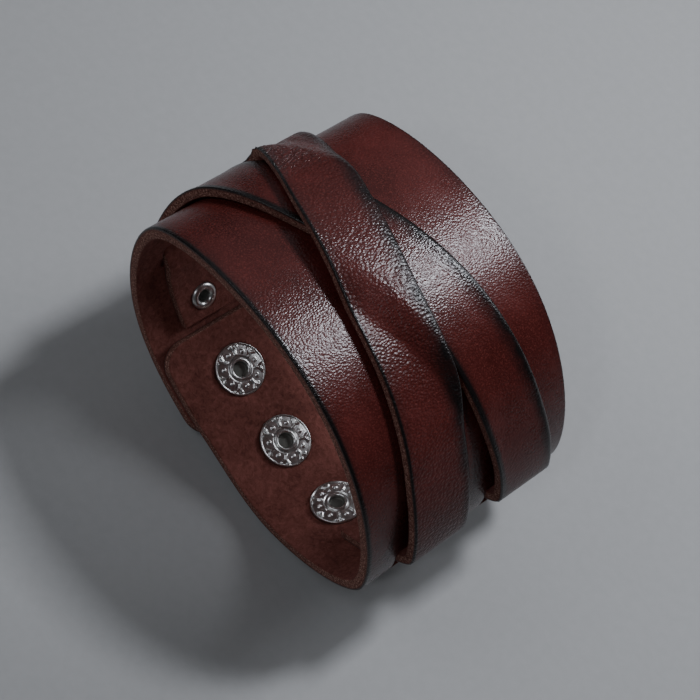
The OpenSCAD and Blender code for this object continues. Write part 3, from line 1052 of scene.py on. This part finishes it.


# Dyed grain: cloudy colour, pulled darker in the creases and at the edges, and by painted shade where the
# hide bends down to the stud end
def dyedGrain(tree, look, noise, pebble, edgeLine, softDyeAndPaintedShade):
    grainRamp = addNode(tree, "ShaderNodeValToRGB", None, None, {"Fac": noise["cloud"]})
    setStops(grainRamp, ((0.32, look["grainDark"]), (0.52, look["grainMid"]), (0.72, look["grainLight"])))
    crevice = addNode(tree, "ShaderNodeMapRange", None,
                      {"From Min": 0.35, "From Max": 0.75, "To Min": 0.0, "To Max": 0.35},
                      {"Value": pebble})
    # tiny open pores take less dye and show as lighter specks
    openPore = addNode(tree, "ShaderNodeMapRange", None,
                       {"From Min": 0.5, "From Max": 0.8, "To Min": 0.0, "To Max": 0.8},
                       {"Value": noise["openPores"]})
    cover = addNode(tree, "ShaderNodeMapRange", None,
                    {"From Min": 0.3, "From Max": 0.7, "To Min": 0.6, "To Max": 1.0},
                    {"Value": noise["fray"]})
    # the soft shade holds the edge dye and the painted shade of the lower part
    shade = addNode(tree, "ShaderNodeMath", {"operation": "MULTIPLY"}, None,
                    {0: softDyeAndPaintedShade, 1: cover.outputs["Result"]})
    dyeAndPaintedShade = addNode(tree, "ShaderNodeMath", {"operation": "MULTIPLY_ADD", "use_clamp": True}, {1: 0.9},
                  {0: edgeLine, 2: shade.outputs["Value"]})
    colour = grainRamp.outputs["Color"]
    for amount, code in (
            (crevice.outputs["Result"], look["grainDark"]),
            (openPore.outputs["Result"], look["speck"]),
            (dyeAndPaintedShade.outputs["Value"], look["dyeAndPaintedShadeColour"])):
        layer = addNode(tree, "ShaderNodeMix", {"data_type": "RGBA"}, {7: linearColour(code)},
                        {0: amount, 6: colour})
        colour = layer.outputs[2]
    return colour


# Flesh side: short nap, lighter where it is rubbed
def fleshNap(tree, look, noise):
    napMix = addNode(tree, "ShaderNodeMath", {"operation": "MULTIPLY_ADD"}, {1: 0.45},
                     {0: noise["patch"], 2: noise["nap"]})
    fleshRamp = addNode(tree, "ShaderNodeValToRGB", None, None, {"Fac": napMix.outputs["Value"]})
    setStops(fleshRamp, ((0.5, look["fleshDark"]), (0.7, look["fleshMid"]), (0.95, look["fleshLight"])))
    return fleshRamp.outputs["Color"]


# Cut face: dry fibre, nearly undyed in the middle of the thickness
def cutFibre(tree, look, noise):
    cutRamp = addNode(tree, "ShaderNodeValToRGB", None, None, {"Fac": noise["fibre"]})
    setStops(cutRamp, ((0.36, look["cutDark"]), (0.52, look["cutMid"]), (0.68, look["cutLight"])))
    return cutRamp.outputs["Color"]


# Relief: broad creases, wrinkles and pebbles on the grain side, nap and fibre elsewhere
def hideRelief(tree, look, noise, pebble, grainSide, waxed, bent):
    wrinkles = addNode(tree, "ShaderNodeMath", {"operation": "MULTIPLY"}, None,
                       {0: noise["wrinkle"], 1: bent})
    fine = addNode(tree, "ShaderNodeMath", {"operation": "MULTIPLY"},
                   {1: look["fineDepth"] / look["pebbleDepth"]}, {0: noise["fine"]})
    domed = addNode(tree, "ShaderNodeMath", {"operation": "MULTIPLY_ADD"}, {1: -1.0},
                    {0: pebble, 2: fine.outputs["Value"]})
    grain = addNode(tree, "ShaderNodeMath", {"operation": "MULTIPLY"}, None,
                    {0: domed.outputs["Value"], 1: grainSide})
    raw = addNode(tree, "ShaderNodeMix", {"data_type": "FLOAT"}, {3: 0.5}, {0: waxed, 2: noise["nap"]})
    links = {}
    for strength, depth, height in (
            (1.0, look["creaseDepth"], noise["crease"]),
            (1.0, look["wrinkleDepth"], wrinkles.outputs["Value"]),
            (1.0, look["pebbleDepth"], grain.outputs["Value"]),
            (0.9, look["napDepth"], raw.outputs[0])):
        bump = addNode(tree, "ShaderNodeBump", None, {"Strength": strength, "Distance": depth * mm},
                       dict(links, Height=height))
        links = {"Normal": bump.outputs["Normal"]}
    return links["Normal"]


# Oil-tanned cowhide, oxblood dyed, waxed and rubbed black along its cut edges. The wax gives
# the grain side a soft wide shine broken by the pebbles; the flesh side is a matt nap, and the
# cut faces show dry fibre.
def makeCowhide(name, look):
    material, tree, shader, place = startMaterial(name)
    edgeLine, softDyeAndPaintedShade, cutFace, grainSide, bent = [
        addNode(tree, "ShaderNodeAttribute", {"attribute_name": attributeName}).outputs["Fac"]
        for attributeName in ("edgeLine", "softDyeAndPaintedShade", "cutFace", "grainSide", "wrinkle")]
    places = {}
    for noiseName, share in look["drawnOut"].items():
        drawn = addNode(tree, "ShaderNodeMapping", None, {"Scale": (1, share, 1)}, {"Vector": place})
        places[noiseName] = drawn.outputs["Vector"]
    noise = {}
    for noiseName, (size, detail, rough, twist) in look["noises"].items():
        texture = addNode(tree, "ShaderNodeTexNoise", None,
                          {"Scale": 1 / size, "Detail": detail, "Roughness": rough, "Distortion": twist},
                          {"Vector": places.get(noiseName, place)})
        noise[noiseName] = texture.outputs["Fac"]
    pebble = addNode(tree, "ShaderNodeTexVoronoi", {"feature": "SMOOTH_F1"},
                     {"Scale": 1 / look["pebbleSize"], "Smoothness": 0.35, "Randomness": 1.0},
                     {"Vector": places["pebble"]}).outputs["Distance"]
    faceColour = addNode(tree, "ShaderNodeMix", {"data_type": "RGBA"}, None,
                         {0: grainSide, 6: fleshNap(tree, look, noise),
                          7: dyedGrain(tree, look, noise, pebble, edgeLine, softDyeAndPaintedShade)})
    colour = addNode(tree, "ShaderNodeMix", {"data_type": "RGBA"}, None,
                     {0: cutFace, 6: faceColour.outputs[2], 7: cutFibre(tree, look, noise)})
    tree.links.new(colour.outputs[2], shader.inputs["Base Color"])
    # waxed grain is satin, nap and fibre are dry
    smooth, dull = look["gloss"]
    shine = addNode(tree, "ShaderNodeMapRange", None,
                    {"From Min": 0.3, "From Max": 0.7, "To Min": smooth, "To Max": dull},
                    {"Value": noise["cloud"]})
    waxed = addNode(tree, "ShaderNodeMath", {"operation": "SUBTRACT", "use_clamp": True}, None,
                    {0: grainSide, 1: cutFace}).outputs["Value"]
    roughness = addNode(tree, "ShaderNodeMix", {"data_type": "FLOAT"}, {2: look["dryRoughness"]},
                        {0: waxed, 3: shine.outputs["Result"]})
    tree.links.new(roughness.outputs[0], shader.inputs["Roughness"])
    shader.inputs["IOR"].default_value = 1.45
    relief = hideRelief(tree, look, noise, pebble, grainSide, waxed, bent)
    tree.links.new(relief, shader.inputs["Normal"])
    return material


print("materials")
bandHide = makeCowhide("oilTannedCowhideBand", oilTannedCowhide)
strapHide = makeCowhide("oilTannedCowhideStrap", dict(oilTannedCowhide, grainMid="#481916"))
# the upper strap is pulled over the lower one: coarser, deeper pebbles with less shine
pulledHide = makeCowhide("oilTannedCowhidePulled", dict(
    oilTannedCowhide, grainMid="#481916", pebbleSize=0.42, pebbleDepth=0.1, gloss=(0.27, 0.36)))
for sheet, hide in ((bandSheet, bandHide), (lowerStrap, strapHide), (upperStrap, pulledHide)):
    sheet.data.materials.clear()
    sheet.data.materials.append(hide)

nickelPlate = {
    "colour": "#dad9d6",
    "dull": "#a9a8a6",
    # grey of dull plating, darker as painted shade deep in the bores
    "dullAndPaintedShade": "#7d7c76",
    "roughness": 0.3,
    "tarnishDull": 0.4,      # what the dull, shaded bores add to the roughness
    "patchSize": 1.8,        # mm
    "scratchSize": 0.35,
    "scratchDepth": 0.02,
}


# Nickel plate on stamped brass, tumbled bright: a soft bright metal, a little warmer than
# chrome, with faint greyer patches and fine rubbing.
def makeNickel(name, look):
    material, tree, shader, place = startMaterial(name)
    patch = addNode(tree, "ShaderNodeTexNoise", None,
                    {"Scale": 1 / look["patchSize"], "Detail": 4}, {"Vector": place})
    tone = addNode(tree, "ShaderNodeMapRange", None,
                   {"From Min": 0.45, "From Max": 0.75, "To Min": 0.0, "To Max": 0.3},
                   {"Value": patch.outputs["Fac"]})
    plate = addNode(tree, "ShaderNodeMix", {"data_type": "RGBA"},
                    {6: linearColour(look["colour"]), 7: linearColour(look["dull"])},
                    {0: tone.outputs["Result"]})
    # bores of the eyelets and rivets are duller where the plating is thin, and painted darker towards their
    # depths as painted shade
    bore = addNode(tree, "ShaderNodeAttribute", {"attribute_name": "dullAndPaintedShade"})
    colour = addNode(tree, "ShaderNodeMix", {"data_type": "RGBA"}, {7: linearColour(look["dullAndPaintedShade"])},
                     {0: bore.outputs["Fac"], 6: plate.outputs[2]})
    tree.links.new(colour.outputs[2], shader.inputs["Base Color"])
    shader.inputs["Metallic"].default_value = 1.0
    rub = addNode(tree, "ShaderNodeTexNoise", None,
                  {"Scale": 1 / look["scratchSize"], "Detail": 5, "Roughness": 0.7}, {"Vector": place})
    rough = addNode(tree, "ShaderNodeMapRange", None,
                    {"From Min": 0.3, "From Max": 0.75,
                     "To Min": look["roughness"] * 0.85, "To Max": look["roughness"] * 1.3},
                    {"Value": rub.outputs["Fac"]})
    duller = addNode(tree, "ShaderNodeMath", {"operation": "MULTIPLY_ADD"}, {1: look["tarnishDull"]},
                     {0: bore.outputs["Fac"], 2: rough.outputs["Result"]})
    tree.links.new(duller.outputs["Value"], shader.inputs["Roughness"])
    bump = addNode(tree, "ShaderNodeBump", None, {"Strength": 0.15, "Distance": look["scratchDepth"] * mm},
                   {"Height": rub.outputs["Fac"]})
    tree.links.new(bump.outputs["Normal"], shader.inputs["Normal"])
    return material


nickel = makeNickel("brightNickelPlate", nickelPlate)
for part, nodeName in turnedParts:
    part.data.materials.append(nickel)
replaced = {"band", "strap_under", "strap_over"} | {nodeName for part, nodeName in turnedParts}
for nodeName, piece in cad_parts.items():
    if nodeName not in replaced:
        piece.data.materials.clear()
        piece.data.materials.append(nickel)

studio = {
    "floorHalf": 1200.0,     # mm
    "floorColour": "#adadac",
    "floorSpeck": "#a4a4a3",
    "floorSpeckSize": 2.0,   # mm
    "floorRoughness": 0.8,
    "aimHeight": 0.03,       # m over the floor, where the lamps point
    "worldColour": "#dfe3e8",
    "worldStrength": 0.06,
    "lightColour": "#f2f6ff",
    # name, direction from the bracelet, distance in m, width, length, watts
    "lights": (
        ("overheadLamp", (0.03, 0.48, 0.87), 0.33, 0.05, 0.05, 0.78),
        ("leftFill", (-0.55, -0.5, 0.67), 0.6, 0.25, 0.25, 0.4),
        ("upperPanel", (-0.6, 0.45, 0.66), 0.6, 0.5, 0.5, 0.2),
        ("backFill", (0.12, 0.87, 0.48), 0.5, 0.16, 0.16, 0.8),
        ("frontFill", (0.1, -0.62, 0.78), 0.6, 0.05, 0.05, 0.32),
    ),
}


def makeStudio():
    half = studio["floorHalf"]
    corners = np.array([(-half, -half, 0), (half, -half, 0), (half, half, 0), (-half, half, 0)])
    floor = addMesh("floor", corners, [(0, 1, 2, 3)], False)
    material, tree, shader, place = startMaterial("paperFloor")
    speck = addNode(tree, "ShaderNodeTexNoise", None,
                    {"Scale": 1 / studio["floorSpeckSize"], "Detail": 3}, {"Vector": place})
    tone = addNode(tree, "ShaderNodeMix", {"data_type": "RGBA"},
                   {6: linearColour(studio["floorColour"]), 7: linearColour(studio["floorSpeck"])},
                   {0: speck.outputs["Fac"]})
    tree.links.new(tone.outputs[2], shader.inputs["Base Color"])
    shader.inputs["Roughness"].default_value = studio["floorRoughness"]
    floor.data.materials.append(material)
    world = bpy.data.worlds.new("studioWorld")
    world.use_nodes = True
    sky = world.node_tree.nodes["Background"]
    sky.inputs["Color"].default_value = linearColour(studio["worldColour"])
    sky.inputs["Strength"].default_value = studio["worldStrength"]
    bpy.context.scene.world = world
    middle = Vector((0, 0, studio["aimHeight"]))
    for name, direction, distance, width, length, watts in studio["lights"]:
        light = bpy.data.lights.new(name, "AREA")
        light.shape = "RECTANGLE"
        light.size = width
        light.size_y = length
        light.energy = watts
        light.color = linearColour(studio["lightColour"])[:3]
        lamp = bpy.data.objects.new(name, light)
        lamp.visible_camera = False
        lamp.location = middle + Vector(direction).normalized() * distance
        lamp.rotation_euler = (middle - lamp.location).to_track_quat("-Z", "Y").to_euler()
        bpy.context.scene.collection.objects.link(lamp)


view = {
    "azimuthDeg": 27.407,
    "elevationDeg": 59.74,
    "rollDeg": 26.883,
    "distance": 0.3121,      # m
    "sensor": 36.0,
    "lens": 91.15,
    "target": (0.80, 0.0, 0.01),   # mm, from the middle of the loop's own section
}


def makeCamera():
    a = math.radians(view["azimuthDeg"])
    e = math.radians(view["elevationDeg"])
    r = math.radians(view["rollDeg"])
    back = Vector((math.sin(a) * math.cos(e), -math.cos(a) * math.cos(e), math.sin(e)))
    level = Vector((math.cos(a), math.sin(a), 0))
    up = back.cross(level)
    right = math.cos(r) * level + math.sin(r) * up
    top = -math.sin(r) * level + math.cos(r) * up
    x, y, z = view["target"]
    target = Vector(((x + standX) * mm, y * mm, (z + standZ) * mm))
    data = bpy.data.cameras.new("camera")
    data.sensor_width = view["sensor"]
    data.lens = view["lens"]
    data.clip_start = 0.01
    camera = bpy.data.objects.new("camera", data)
    turn = Matrix((right, top, back)).transposed()
    camera.matrix_world = Matrix.Translation(target + back * view["distance"]) @ turn.to_4x4()
    bpy.context.scene.collection.objects.link(camera)
    bpy.context.scene.camera = camera


print("studio and camera")
makeStudio()
makeCamera()
